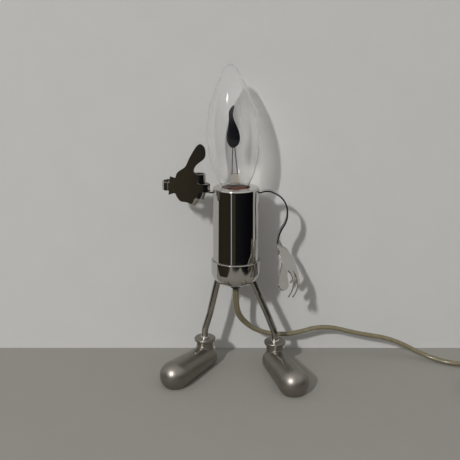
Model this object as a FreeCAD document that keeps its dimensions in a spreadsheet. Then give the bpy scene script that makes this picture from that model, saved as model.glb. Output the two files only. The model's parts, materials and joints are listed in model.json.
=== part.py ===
"""A small chrome figure lamp: a can-shaped body on two rod legs in cast boots, two sheet-metal
arms with gloved hands, and a candle bulb standing in the can's mouth.

Millimetres, +Z up, +X to the figure's left hand side as seen from the front, front towards -Y.
The origin is on the floor, under the middle of the figure's box. The can's axis stands at
(axis_x, axis_y), and every piece is drawn about that axis and then placed there.
"""

import FreeCAD, Part
import Sketcher
import math
import os
import re

V = FreeCAD.Vector
doc = FreeCAD.newDocument("figure_lamp")
sheet = doc.addObject("Spreadsheet::Sheet", "sizes")
sheet.Label = "sizes"

SIZES = {
    # place of the can's axis in the row frame
    "axis_x": 1.6,
    "axis_y": 17.5,
    # can and cup
    "can_radius": 16.1,
    "can_wall": 1.0,
    "can_height": 60.8,
    "can_foot": "=cup_bottom + can_step",
    "can_rim": "=can_foot + can_height",
    "mouth_radius": 9.83,
    "rim_edge": 1.4,
    "seat_gap": 0.1,
    "cup_wall": 1.1,
    "cup_bottom": 63.6,
    "can_step": 9.0,
    "cup_height": 17.9,
    "cup_top": "=cup_bottom + cup_height",
    "cup_round": 9.5,
    "cup_floor_depth": 3.8,
    "cup_floor": "=cup_bottom + cup_floor_depth",
    "cup_floor_radius": 14.0,
    "nut_seat_depth": 1.4,
    "nut_recess": "=cup_bottom + nut_seat_depth",
    "nut_recess_radius": 9.0,
    # hollow screw that carries the lampholder
    "nipple_radius": 4.2,
    "nipple_bore": 2.9,
    "nipple_drop": 1.8,
    "nipple_foot": "=cup_bottom - nipple_drop",
    "nipple_nut_radius": 7.6,
    "nipple_nut_height": 2.6,
    "bushing_radius": 4.0,
    "bushing_lip": 1.6,
    "bushing_foot": "=nipple_foot - bushing_lip",
    # lampholder
    "holder_radius": 11.5,
    "chamber_room": 7.0,
    "holder_foot": "=chamber_roof - chamber_room - holder_spigot - holder_flange",
    "holder_flange": 4.0,
    "holder_spigot": 4.0,
    "holder_spigot_radius": 9.5,
    "holder_lip": 4.6,
    "holder_top": "=cap_top + holder_lip",
    "holder_mouth": "=cap_top - cap_skirt - 2 * seat_gap",
    "holder_mouth_radius": 9.0,
    "contact_room": 3.3,
    "contact_floor": "=cap_tip_foot - contact_room",
    "contact_web": 3.0,
    "chamber_roof": "=contact_floor - contact_web",
    "thread_shell_radius": 7.55,
    "thread_shell_wall": 0.5,
    "thread_shell_foot": "=cap_tip_foot + 2 * seat_gap",
    "thread_shell_top": "=holder_mouth - 6 * seat_gap",
    "terminal_size": 3.2,
    "terminal_spread": 5.6,
    "terminal_screw_radius": 1.3,
    "terminal_screw_head": 1.4,
    "screw_slot": 0.5,
    "wire_radius": 0.9,
    # bulb
    "cap_radius": 6.85,
    "cap_wall": 0.35,
    "cap_sink": 6.4,
    "cap_height": 23.0,
    "cap_top": "=can_rim - cap_sink",
    "cap_foot": "=cap_top - cap_height",
    "cap_skirt_radius": 8.2,
    "cap_skirt": 1.6,
    "cap_tip_radius": 2.3,
    "cap_insulator_drop": 1.7,
    "cap_tip_drop": 1.0,
    "cap_insulator_foot": "=cap_foot - cap_insulator_drop",
    "cap_tip_foot": "=cap_insulator_foot - cap_tip_drop",
    "bulb_radius": 17.5,
    "bulb_height": 88.4,
    "bulb_tip": "=cap_top + bulb_height",
    "glass_wall": 0.6,
    "bulb_lean_angle": 2.7,
    "stem_radius": 3.4,
    "stem_flare": 3.0,
    "stem_height": 15.6,
    "press_height": 6.6,
    "press_top": "=cap_top + stem_height",
    "press_foot": "=press_top - press_height",
    "press_width": 5.6,
    "press_depth": 2.4,
    "lead_radius": 0.35,
    "lead_spread": 1.9,
    "lead_rise": 18.0,
    "lead_lap": 1.6,
    "weld_gap": 0.02,
    "flame_foot": "=press_top + lead_rise",
    "flame_height": 28.0,
    "flame_half_width": 4.6,
    "flame_plate": 0.4,
    "flame_gap": 1.5,
    # legs
    "leg_radius": 2.4,
    "leg_gap": 0.05,
    "leg_proud": 1.4,
    "leg_head": "=cup_floor + leg_proud",
    "leg_bend": 16.0,
    "left_head_x": -12.1,
    "right_head_x": 10.4,
    "leg_pin_end": 7.0,
    "left_ankle_x": -22.4,
    "left_ankle_y": 0.0,
    "right_ankle_x": 28.4,
    "right_ankle_y": -6.0,
    "ankle_rise": 5.8,
    "ankle_height": "=boot_top + ankle_rise",
    "end_gap": 0.3,
    "washer_radius": 3.3,
    "washer_height": 1.3,
    # boots
    "boot_top": 21.2,
    "collar_radius": 7.7,
    "collar_height": 2.3,
    "collar_edge": 0.7,
    "shaft_radius": 6.1,
    "heel_radius": 8.9,
    "toe_radius": 10.5,
    "foot_length": 37.6,
    "sole_cut": 3.0,
    "left_boot_angle": -31.5,
    "right_boot_angle": 16.0,
    # arms and hands
    "strip_width": 5.4,
    "strip": 1.0,
    "arm_drop": 3.5,
    "arm_height": "=can_rim - arm_drop",
    "shoulder_gap": 1.0,
    "arm_tang": 2.2,
    "arm_hook": 3.6,
    "slot_gap": 0.75,
    "finger_width": "=0.2536 * palm_length",
    "finger_length": "=1.005 * palm_length",
    "palm_length": 20.9,
    "palm_stretch": 1.12,
    "arm_out": 18.5,
    "wrist_drop": 36.7,
    "loose_finger_bend": 15.0,
    "loose_finger_angle": 60.0,
    "thumb_angle": 17.0,
    "closed_finger_bend": 4.2,
    "twist_end": 33.0,
    "turn_out": 45.0,
    "turn_bend": 4.3,
    "palm_forward": 12.5,
    "hand_rise": 6.3,
    # lead
    "cord_width": 4.4,
    "cord_thickness": 2.6,
    "coil_x": 255.3,
    "coil_y": -18.0,
    "coil_radius": 24.2,
    "coil_gap": 1.2,
    "coil_turns": 2.0,
    "cord_floor": 2.3,
    "plug_height": 7.2,
    "plug_x": 206.0,
    "tail_run": 16.5,
    "plug_length": 35.0,
    "plug_width": 14.0,
    "plug_tail_width": 7.0,
    "pin_radius": 2.0,
    "pin_length": 18.0,
    "pin_spread": 18.6,
}
for row, alias in enumerate(SIZES, start=1):
    sheet.set(f"A{row}", alias)
    sheet.setAlias(f"B{row}", alias)
for row, size in enumerate(SIZES.values(), start=1):
    sheet.set(f"B{row}", str(size))
doc.recompute()

nodes = {}


def mm(alias):
    """The number in a cell of the sheet."""
    return float(sheet.get(alias))


def bound(words):
    """An expression on the sheet's cells, from one written with their aliases alone."""
    return re.sub(r"[a-z][a-z_]*[a-z]", lambda word: "<<sizes>>." + word.group(0), words)


def about_axis(piece, label):
    """Place a finished piece on the can's axis and keep it as a node."""
    piece.Label = label
    piece.setExpression("Placement.Base.x", bound("axis_x"))
    piece.setExpression("Placement.Base.y", bound("axis_y"))
    nodes[label] = piece
    return piece


def shaped(label, shape):
    """A node whose form no sketch or primitive gives, drawn about the can's axis."""
    piece = doc.addObject("Part::Feature", label)
    piece.Shape = shape
    on_axis = FreeCAD.Placement(V(mm("axis_x"), mm("axis_y"), 0), FreeCAD.Rotation())
    piece.Placement = on_axis.multiply(shape.Placement)
    piece.Label = label
    nodes[label] = piece
    return piece


def disc_sketch(body, radius, height):
    """A circle on the body's own XY plane, lifted to a height."""
    plane = next(f for f in body.Origin.OriginFeatures if f.Role == "XY_Plane")
    sketch = body.newObject("Sketcher::SketchObject", "circle")
    sketch.AttachmentSupport = [(plane, "")]
    sketch.MapMode = "FlatFace"
    sketch.setExpression("AttachmentOffset.Base.z", bound(height))
    circle = sketch.addGeometry(Part.Circle(V(0, 0, 0), V(0, 0, 1), 5), False)
    # Sketcher's own numbers: -1, 1 is the origin and point 3 of a circle its centre
    sketch.addConstraint(Sketcher.Constraint("Coincident", circle, 3, -1, 1))
    size = sketch.addConstraint(Sketcher.Constraint("Radius", circle, 5.0))
    sketch.setExpression(f"Constraints[{size}]", bound(radius))
    return sketch


def turned(label, steps):
    """A body of stacked discs: each step adds or cuts (radius, from height, to height)."""
    body = doc.addObject("PartDesign::Body", label)
    for kind, radius, low, high in steps:
        sketch = disc_sketch(body, radius, low)
        feature = body.newObject("PartDesign::Pad" if kind == "add" else "PartDesign::Pocket", kind)
        feature.Profile = sketch
        feature.setExpression("Length", bound(f"({high}) - ({low})"))
        if kind == "cut":
            before = body.Shape.Volume if not body.Shape.isNull() else 0
            feature.Reversed = True
            doc.recompute()
            if feature.Shape.Volume >= before - 1e-6:
                raise RuntimeError(f"{label}: the cut at {low} removes nothing")
        doc.recompute()
    return body


def rounded(body, height, radius_near, size):
    """A fillet on the body's circular edge at a height and radius."""
    base = body.Tip
    for number, edge in enumerate(base.Shape.Edges, start=1):
        curve = edge.Curve
        round_edge = isinstance(curve, Part.Circle) and abs(curve.Center.z - height) < 0.01
        if round_edge and abs(curve.Radius - radius_near) < 0.01:
            fillet = body.newObject("PartDesign::Fillet", "fillet")
            fillet.Base = (base, [f"Edge{number}"])
            fillet.setExpression("Radius", bound(size))
            doc.recompute()
            return fillet
    raise RuntimeError(f"{body.Label}: no edge at {height} with radius {radius_near}")


def rod(points, radius, corner):
    """A round rod through points, with its corners rounded by tangent arcs."""
    route, edges, last = [V(*p) for p in points], [], V(*points[0])
    for before, at, after in zip(route, route[1:], route[2:]):
        into, out = (at - before).normalize(), (after - at).normalize()
        turn = into.getAngle(out)
        if turn < 0.01:
            continue
        reach = min(corner * math.tan(turn / 2), 0.45 * (at - before).Length, 0.45 * (after - at).Length)
        start, end = at - into * reach, at + out * reach
        bend = reach / math.tan(turn / 2)
        middle = at + (out - into).normalize() * (bend / math.cos(turn / 2) - bend)
        edges.append(Part.LineSegment(last, start).toShape())
        edges.append(Part.Arc(start, middle, end).toShape())
        last = end
    edges.append(Part.LineSegment(last, route[-1]).toShape())
    path = Part.Wire(edges)
    circle = Part.Wire(Part.Circle(route[0], route[1] - route[0], radius).toShape())
    return path.makePipeShell([circle], True, False), path


def plate(points, thickness, normal):
    """A flat plate with straight sides."""
    wire = Part.makePolygon([V(*p) for p in points] + [V(*points[0])])
    return Part.Face(wire).extrude(normal * thickness)


# The can: a drawn tube with a flat top turned in to a round mouth, standing in the cup.
can = turned(
    "can_turned",
    [
        ("add", "can_radius", "can_foot", "can_rim"),
        ("cut", "can_radius - can_wall", "can_foot", "can_rim - can_wall"),
        ("cut", "mouth_radius", "can_rim - can_wall", "can_rim"),
    ],
)
rounded(can, mm("can_rim"), mm("can_radius"), "rim_edge")

# Slots in the can's sides for the two arms.
slots = doc.addObject("Part::Box", "arm_slots")
slots.setExpression("Length", bound("2 * can_radius + 4"))
slots.setExpression("Width", bound("strip_width + 0.6"))
slots.setExpression("Height", bound("strip + 2 * slot_gap"))
slots.setExpression("Placement.Base.x", bound("0 - can_radius - 2"))
slots.setExpression("Placement.Base.y", bound("0 - strip_width / 2 - 0.3"))
slots.setExpression("Placement.Base.z", bound("arm_height - strip / 2 - slot_gap"))
slotted = doc.addObject("Part::Cut", "can_slotted")
slotted.Base = can
slotted.Tool = slots
about_axis(slotted, "body_can")

# The legs: bent rods, brazed into the cup's floor, each ending in an upright pin in its boot.
# Each bend as shares: of the way out from head to ankle, of the way forward, and of the way down.
BENDS = {
    "left": [(0.282, 0.0, 0.306), (0.631, 0.0, 0.689)],
    "right": [(0.330, 0.067, 0.325), (0.745, 0.533, 0.730)],
}


def leg_route(side):
    """Down from the head of the rod, through its bends, to the pin's end."""
    ankle = V(mm(side + "_ankle_x"), mm(side + "_ankle_y"), mm("ankle_height"))
    head = V(mm(side + "_head_x"), 0, mm("leg_head"))
    way = ankle - head
    bends = [(head.x + out * way.x, on * way.y, head.z + down * way.z) for out, on, down in BENDS[side]]
    return [tuple(head), *bends, tuple(ankle), (ankle.x, ankle.y, mm("leg_pin_end"))]


legs = {}
for side in ("left", "right"):
    legs[side] = leg_route(side)
    shaped("leg_" + side, rod(legs[side], mm("leg_radius"), mm("leg_bend"))[0])
doc.recompute()

# The cup: a spun bowl that the can stands in, with a flat floor inside.
cup = turned(
    "cup_turned",
    [
        ("add", "can_radius + seat_gap + cup_wall", "cup_bottom", "cup_top"),
        ("cut", "can_radius + seat_gap", "can_foot", "cup_top"),
        ("cut", "cup_floor_radius", "cup_floor", "can_foot"),
        ("cut", "nut_recess_radius", "nut_recess", "cup_floor"),
        ("cut", "nipple_radius + leg_gap", "cup_bottom", "nut_recess"),
    ],
)
rounded(cup, mm("cup_bottom"), mm("can_radius") + mm("seat_gap") + mm("cup_wall"), "cup_round")
rounded(cup, mm("cup_top"), mm("can_radius") + mm("seat_gap") + mm("cup_wall"), "cup_wall / 3")
leg_holes = doc.addObject("Part::Feature", "leg_holes")
leg_holes.Shape = Part.makeCompound([rod(legs[s], mm("leg_radius") + mm("leg_gap"), mm("leg_bend"))[0] for s in legs])
drilled = doc.addObject("Part::Cut", "cup_drilled")
drilled.Base = cup
drilled.Tool = leg_holes
about_axis(drilled, "base_cup")

# The hollow screw through the cup's floor, its nut, and the rubber bushing for the cord.
about_axis(
    turned(
        "nipple",
        [
            ("add", "nipple_radius", "nipple_foot", "holder_foot + holder_flange"),
            ("cut", "nipple_bore", "nipple_foot", "holder_foot + holder_flange"),
        ],
    ),
    "threaded_nipple",
)
nut = doc.addObject("Part::Prism", "nut_blank")
nut.Polygon = 6
nut.setExpression("Circumradius", bound("nipple_nut_radius"))
nut.setExpression("Height", bound("nipple_nut_height"))
nut.setExpression("Placement.Base.z", bound("nut_recess"))
nut_bore = doc.addObject("Part::Cylinder", "nut_bore")
nut_bore.setExpression("Radius", bound("nipple_radius"))
nut_bore.setExpression("Height", bound("nipple_nut_height"))
nut_bore.setExpression("Placement.Base.z", bound("nut_recess"))
nut_cut = doc.addObject("Part::Cut", "nut_cut")
nut_cut.Base = nut
nut_cut.Tool = nut_bore
about_axis(nut_cut, "nipple_nut")
bushing = turned(
    "bushing",
    [
        ("add", "bushing_radius + bushing_lip", "nipple_foot", "cup_bottom"),
        ("add", "bushing_radius", "bushing_foot", "nipple_foot"),
        ("cut", "nipple_radius", "nipple_foot", "cup_bottom"),
        ("cut", "cord_width / 2 + leg_gap", "bushing_foot", "nipple_foot"),
    ],
)
rounded(bushing, mm("bushing_foot"), mm("bushing_radius"), "bushing_lip / 3")
about_axis(bushing, "cord_bushing")

# The lampholder: a moulded base on the hollow screw and a moulded barrel standing on it.
about_axis(
    turned(
        "holder_base",
        [
            ("add", "holder_radius", "holder_foot", "holder_foot + holder_flange"),
            (
                "add",
                "holder_spigot_radius",
                "holder_foot + holder_flange",
                "holder_foot + holder_flange + holder_spigot",
            ),
            ("cut", "nipple_radius", "holder_foot", "holder_foot + holder_flange"),
            (
                "cut",
                "nipple_bore",
                "holder_foot + holder_flange",
                "holder_foot + holder_flange + holder_spigot",
            ),
        ],
    ),
    "lampholder_base",
)
barrel = turned(
    "holder_barrel",
    [
        ("add", "holder_radius", "holder_foot + holder_flange", "holder_top"),
        ("cut", "holder_spigot_radius + seat_gap", "holder_foot + holder_flange", "chamber_roof"),
        ("cut", "thread_shell_radius", "contact_floor", "holder_mouth"),
        ("cut", "holder_mouth_radius", "holder_mouth", "holder_top"),
    ],
)
rounded(barrel, mm("holder_top"), mm("holder_radius"), "seat_gap * 8")
about_axis(barrel, "lampholder_barrel")
about_axis(
    turned(
        "thread_shell",
        [
            ("add", "thread_shell_radius", "thread_shell_foot", "thread_shell_top"),
            ("cut", "thread_shell_radius - thread_shell_wall", "thread_shell_foot", "thread_shell_top"),
        ],
    ),
    "lampholder_thread_shell",
)
about_axis(
    turned(
        "centre_contact",
        [
            ("add", "cap_tip_radius * 2", "contact_floor", "contact_floor + strip"),
            ("add", "cap_tip_radius - cap_wall * 2", "contact_floor + strip", "cap_tip_foot - seat_gap * 2"),
        ],
    ),
    "lampholder_contact",
)

# Two terminal blocks with their screws, and the two wires that rise to them from the cord.
terminal_floor = mm("holder_foot") + mm("holder_flange") + mm("holder_spigot")
blocks, screws, wires = [], [], []
for way in (-1, 1):
    size, at = mm("terminal_size"), way * mm("terminal_spread")
    block = Part.makeBox(size, size * 1.3, size, V(at - size / 2, -size * 0.65, terminal_floor))
    blocks.append(block)
    tall, slot = mm("terminal_screw_head"), mm("screw_slot")
    head = Part.makeCylinder(mm("terminal_screw_radius"), tall, V(at, 0, terminal_floor + size))
    groove = Part.makeBox(4 * mm("terminal_screw_radius"), slot, tall / 2)
    groove.translate(V(at - 2 * mm("terminal_screw_radius"), -slot / 2, terminal_floor + size + tall / 2))
    screws.append(head.cut(groove))
    inner = at - way * size / 2
    start = way * (mm("wire_radius") + 0.2)
    wires.append(
        rod(
            [
                (start, 0, mm("nipple_foot") + 0.4),
                (start, 0, terminal_floor - 1.0),
                (inner - way * 0.6, 0, terminal_floor + size * 0.5),
                (inner, 0, terminal_floor + size * 0.5),
            ],
            mm("wire_radius"),
            2.0,
        )[0]
    )
shaped("terminal_blocks", Part.makeCompound(blocks))
shaped("terminal_screws", Part.makeCompound(screws))
shaped("supply_wires", Part.makeCompound(wires))

# The bulb's screw cap, its insulator and its centre tip.
about_axis(
    turned(
        "bulb_cap_turned",
        [
            ("add", "cap_radius", "cap_foot", "cap_top"),
            ("add", "cap_skirt_radius", "cap_top - cap_skirt", "cap_top"),
            ("cut", "cap_radius - cap_wall", "cap_foot", "cap_top"),
        ],
    ),
    "bulb_cap",
)
about_axis(
    turned(
        "bulb_insulator_turned",
        [
            ("add", "cap_radius - cap_wall", "cap_foot", "cap_foot + cap_skirt"),
            ("add", "cap_tip_radius + cap_skirt", "cap_insulator_foot", "cap_foot"),
        ],
    ),
    "bulb_insulator",
)
tip = turned("bulb_tip_turned", [("add", "cap_tip_radius", "cap_tip_foot", "cap_insulator_foot")])
rounded(tip, mm("cap_tip_foot"), mm("cap_tip_radius"), "cap_wall * 2")
about_axis(tip, "bulb_tip_contact")

# The glass: a candle-flame form, cemented a little out of true in its cap, so it leans.
lean = FreeCAD.Placement(
    V(0, 0, 0), FreeCAD.Rotation(V(0, 1, 0), -mm("bulb_lean_angle")), V(0, 0, mm("cap_top"))
)


# Half of the bulb's outline from neck to tip: shares of its radius and of its height over the cap.
BULB_FORM = [(0.452, 0.0), (0.46, 0.04), (0.535, 0.085), (0.675, 0.13), (0.84, 0.215), (0.965, 0.31),
             (1.01, 0.41), (1.005, 0.51), (0.955, 0.60), (0.855, 0.69), (0.72, 0.775), (0.545, 0.86),
             (0.36, 0.93), (0.15, 1.0)]


def turned_glass(inset):
    """The solid of revolution inside the bulb's outline, drawn in by the inset."""
    foot, rise = mm("cap_top"), mm("bulb_tip") - mm("cap_top")
    poles = [V(max(r * mm("bulb_radius") - inset, 0.5), 0, foot + z * rise) for r, z in BULB_FORM]
    poles[-1].z -= inset
    poles.append(V(0, 0, foot + rise - inset))
    curve = Part.BSplineCurve()
    curve.buildFromPoles(poles, False, 3)
    floor = V(0, 0, foot)
    face = Part.Face(
        Part.Wire(
            [
                curve.toShape(),
                Part.LineSegment(poles[-1], floor).toShape(),
                Part.LineSegment(floor, poles[0]).toShape(),
            ]
        )
    )
    return face.revolve(V(0, 0, 0), V(0, 0, 1), 360)


def leaning(shape):
    """The shape with the glass's lean, about the top of the cap."""
    moved = shape.copy()
    moved.Placement = lean.multiply(moved.Placement)
    return moved


glass = turned_glass(0.0).cut(turned_glass(mm("glass_wall")))
# The neck goes on a little below the cap's top and is ground flat there, so that it stands all round.
neck_radius, wall = BULB_FORM[0][0] * mm("bulb_radius"), mm("glass_wall")
neck_foot = V(0, 0, mm("cap_top") - wall)
neck = Part.makeCylinder(neck_radius, wall, neck_foot).cut(Part.makeCylinder(neck_radius - wall, wall, neck_foot))
ground = Part.makeBox(4 * neck_radius, 4 * neck_radius, 4 * wall)
ground.translate(V(-2 * neck_radius, -2 * neck_radius, mm("cap_top") - 4 * wall))
shaped("bulb_glass", leaning(glass.fuse(neck).removeSplitter()).cut(ground))

# Inside the glass: the stem with its flattened press, two leads, and the two flame plates.
stem_foot, press_foot, press_top = mm("cap_top"), mm("press_foot"), mm("press_top")
flare_height = mm("stem_flare")
flare = Part.makeCone(mm("cap_radius") - 2 * mm("glass_wall"), mm("stem_radius"), flare_height, V(0, 0, stem_foot))
tube_foot = stem_foot + flare_height
tube = Part.makeCylinder(mm("stem_radius"), press_foot - tube_foot, V(0, 0, tube_foot))
half_width, half_depth = mm("press_width") / 2, mm("press_depth") / 2
press = Part.makeBox(
    2 * half_width, 2 * half_depth, press_top - press_foot + 1.0, V(-half_width, -half_depth, press_foot - 1.0)
)
shaped("bulb_stem", leaning(flare.fuse(tube).fuse(press).removeSplitter()))
leads = [
    rod(
        [
            (way * mm("lead_spread"), 0, press_top),
            (
                way * mm("lead_spread") * 0.3,
                way * (mm("flame_gap") / 2 - mm("lead_radius") - mm("weld_gap")),
                mm("flame_foot") + mm("lead_lap"),
            ),
        ],
        mm("lead_radius"),
        1.0,
    )[0]
    for way in (-1, 1)
]
shaped("bulb_leads", leaning(Part.makeCompound(leads)))


def flame(front):
    """One flame-shaped plate, standing across the front of the bulb."""
    low, high, half = mm("flame_foot"), mm("flame_height"), mm("flame_half_width")
    side = [(0.0, 0.0), (0.70, 0.07), (1.0, 0.25), (0.74, 0.45), (0.24, 0.66), (0.16, 0.84), (0.34, 1.0)]
    back = [(-0.24, 0.92), (-0.50, 0.70), (-0.72, 0.48), (-0.98, 0.26), (-0.70, 0.07)]
    outline = [V(x * half, 0, low + z * high) for x, z in side + back]
    curve = Part.BSplineCurve()
    curve.interpolate(Points=outline, PeriodicFlag=True)
    shift = mm("flame_gap") / 2 if not front else -mm("flame_gap") / 2 - mm("flame_plate")
    body = Part.Face(Part.Wire(curve.toShape())).extrude(V(0, mm("flame_plate"), 0))
    body.translate(V(0, shift, 0))
    return body


shaped("flame_plate_front", leaning(flame(True)))
shaped("flame_plate_back", leaning(flame(False)))

# The boots, each with a washer on the rod above its collar.


def boot(ankle_x, ankle_y, turn):
    """A cast boot: an upright shaft with a collar on a foot that swells to a round toe."""
    heel, toe, length, cut = mm("heel_radius"), mm("toe_radius"), mm("foot_length"), mm("sole_cut")
    back, front = V(0, 0, heel - cut), V(0, -length, toe - cut)
    axis = front - back
    slope = math.asin((toe - heel) / axis.Length)
    reach = axis.normalize()
    near, far = back - reach * heel * math.sin(slope), front - reach * toe * math.sin(slope)
    cone = Part.makeCone(
        heel * math.cos(slope), toe * math.cos(slope), (far - near).Length, near, reach
    )
    foot = Part.makeSphere(heel, back).fuse(cone).fuse(Part.makeSphere(toe, front))
    top, collar = mm("boot_top"), mm("collar_height")
    shaft = Part.makeCylinder(mm("shaft_radius"), top - heel, V(0, 0, heel))
    ring = Part.makeCylinder(mm("collar_radius"), collar, V(0, 0, top - collar))
    ring = ring.makeFillet(mm("collar_edge"), [e for e in ring.Edges if isinstance(e.Curve, Part.Circle)])
    below = Part.makeBox(6 * toe, 2 * length + 6 * toe, toe, V(-3 * toe, -length - 3 * toe, -toe))
    bore = Part.makeCylinder(
        mm("leg_radius") + mm("leg_gap"), top, V(0, 0, mm("leg_pin_end") - mm("end_gap"))
    )
    whole = foot.fuse(shaft).fuse(ring).cut(below).cut(bore).removeSplitter()
    whole.Placement = FreeCAD.Placement(V(ankle_x, ankle_y, 0), FreeCAD.Rotation(V(0, 0, 1), turn))
    return whole


for side in ("left", "right"):
    x, y = mm(side + "_ankle_x"), mm(side + "_ankle_y")
    shaped("boot_" + side, boot(x, y, mm(side + "_boot_angle")))
    dome = Part.makeCylinder(mm("washer_radius"), mm("washer_height"), V(x, y, mm("boot_top")))
    upper = [e for e in dome.Edges if isinstance(e.Curve, Part.Circle) and e.Curve.Center.z > mm("boot_top") + 0.1]
    dome = dome.makeFillet(mm("washer_height") * 0.7, upper)
    dome = dome.cut(Part.makeCylinder(mm("leg_radius"), 5, V(x, y, mm("boot_top") - 1)))
    shaped("washer_" + side, dome)

# The hands, cut from the arms' own sheet, and the arms that carry them.


def bent_finger(length, bend, angle):
    """A strip along +X that bends towards +Y: a straight start, an arc and a straight tip."""
    half, lap, start = mm("strip") / 2, 0.072 * mm("palm_length"), 0.057 * mm("palm_length")
    turn = math.radians(angle)
    tail = max(length - start - bend * turn, 0.5)
    centre = V(start, bend, 0)

    def ring(radius, share):
        return centre + V(radius * math.sin(turn * share), -radius * math.cos(turn * share), 0)

    out = V(math.cos(turn), math.sin(turn), 0) * tail
    outer, inner = bend + half, bend - half
    edges = [
        Part.LineSegment(V(-lap, -half, 0), ring(outer, 0)).toShape(),
        Part.Arc(ring(outer, 0), ring(outer, 0.5), ring(outer, 1)).toShape(),
        Part.LineSegment(ring(outer, 1), ring(outer, 1) + out).toShape(),
        Part.LineSegment(ring(outer, 1) + out, ring(inner, 1) + out).toShape(),
        Part.LineSegment(ring(inner, 1) + out, ring(inner, 1)).toShape(),
        Part.Arc(ring(inner, 1), ring(inner, 0.5), ring(inner, 0)).toShape(),
        Part.LineSegment(ring(inner, 0), V(-lap, half, 0)).toShape(),
        Part.LineSegment(V(-lap, half, 0), V(-lap, -half, 0)).toShape(),
    ]
    width = mm("finger_width")
    solid = Part.Face(Part.Wire(edges)).extrude(V(0, 0, width))
    solid.translate(V(0, 0, -width / 2))
    last = [
        e
        for e in solid.Edges
        if isinstance(e.Curve, Part.Line)
        and abs(e.Length - mm("strip")) < 0.01
        and (e.CenterOfMass - (ring(bend, 1) + out)).Length < width
    ]
    return solid.makeFillet(width * 0.42, last)


# Glove outline in its own plane, in shares of the palm's length: x runs from cuff to fingers, z towards
# the thumb. Each finger has its root and the angle of its fan.
PALM = [
    (0.211, -0.249), (0.292, -0.416), (0.373, -0.502), (0.579, -0.541), (0.718, -0.593), (0.823, -0.397),
    (0.990, -0.187), (1.000, 0.024), (0.923, 0.105), (0.919, 0.364), (0.823, 0.450), (0.837, 0.579),
]
THUMB = [
    (1.043, 0.785), (1.163, 0.904), (1.191, 1.067), (1.148, 1.244), (1.010, 1.335), (0.904, 1.263),
    (0.809, 1.124), (0.641, 0.823), (0.517, 0.598), (0.292, 0.435), (0.220, 0.258),
]
CUFF = [
    (0.048, 0.311), (0.234, 0.258), (0.383, 0.287), (0.383, -0.268), (0.153, -0.239), (-0.010, -0.292),
]
FINGERS = [
    (0.900, 0.230, 0.0), (1.038, -0.086, 0.0), (0.890, -0.268, -18.0), (0.699, -0.421, -38.0),
]


def folded(palm, angle):
    """The palm with its thumb folded about a crease along X."""
    half, palm_length = mm("strip") / 2, mm("palm_length")
    crease = 0.584 * palm_length
    above = Part.makeBox(6 * palm_length, 6 * palm_length, 6 * palm_length)
    above.translate(V(-3 * palm_length, -3 * palm_length, crease))
    thumb, rest = palm.common(above), palm.cut(above)
    root = thumb.section(Part.makePlane(
        6 * palm_length, 6 * palm_length, V(-3 * palm_length, -3 * palm_length, crease), V(0, 0, 1)
    )).BoundBox
    knuckle = Part.makeCylinder(half, root.XLength, V(root.XMin, 0, crease), V(1, 0, 0))
    thumb.rotate(V(0, 0, crease), V(1, 0, 0), angle)
    return rest.fuse(knuckle).fuse(thumb)


def glove(bend, angle, over, stretch, spread, thumb=0.0):
    """The hand as one cut and bent sheet.

    The fingers bend to +Y where over is 1, or to -Y where it is -1; stretch lengthens the palm,
    spread is the share of the fingers' fan, and the thumb folds to the fingers' side by an angle.
    """
    half, length = mm("strip") / 2, mm("palm_length")
    curve = Part.BSplineCurve()
    outline = [V(x * length * stretch, -half, z * length) for x, z in PALM + THUMB]
    curve.interpolate(Points=outline, PeriodicFlag=True)
    palm = Part.Face(Part.Wire(curve.toShape())).extrude(V(0, mm("strip"), 0))
    if thumb:
        palm = folded(palm, -over * thumb)
    cuff = plate([(x * length, -half, z * length) for x, z in CUFF], mm("strip"), V(0, 1, 0))
    hand = palm.fuse(cuff)
    for x, z, fan in FINGERS:
        finger = bent_finger(mm("finger_length"), bend, angle)
        if over < 0:
            finger = finger.mirror(V(0, 0, 0), V(0, 1, 0))
        turned_about = FreeCAD.Rotation(V(0, 1, 0), -fan * spread)
        finger.Placement = FreeCAD.Placement(V(x * length * stretch, 0, z * length), turned_about)
        hand = hand.fuse(finger)
    return hand


def strip_along(edges, across):
    """A strip swept along a flat path, its width lying along the vector across."""
    path = Part.Wire(edges)
    start = path.OrderedEdges[0]
    at = start.valueAt(start.FirstParameter)
    along = start.tangentAt(start.FirstParameter)
    side, up = across * (mm("strip_width") / 2), across.cross(along) * (mm("strip") / 2)
    corners = [at + side + up, at - side + up, at - side - up, at + side - up]
    profile = Part.makePolygon(corners + [corners[0]])
    sweep = Part.BRepOffsetAPI.MakePipeShell(path)
    sweep.setBiNormalMode(across)
    sweep.add(profile)
    sweep.build()
    sweep.makeSolid()
    return sweep.shape()


def tang(way):
    """The end of an arm inside the can: a short flat, bent down behind the wall."""
    height, edge, half = mm("arm_height"), mm("can_radius"), mm("strip_width") / 2
    inside = edge - mm("can_wall") - mm("arm_tang")
    reach = edge + mm("shoulder_gap") - inside
    flat = Part.makeBox(reach, 2 * half, mm("strip"), V(inside, -half, height - mm("strip") / 2))
    hook = Part.makeBox(mm("strip"), 2 * half, mm("arm_hook"), V(inside, -half, height - mm("arm_hook")))
    both = flat.fuse(hook)
    if way < 0:
        both = both.mirror(V(0, 0, 0), V(1, 0, 0))
    return both


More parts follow.
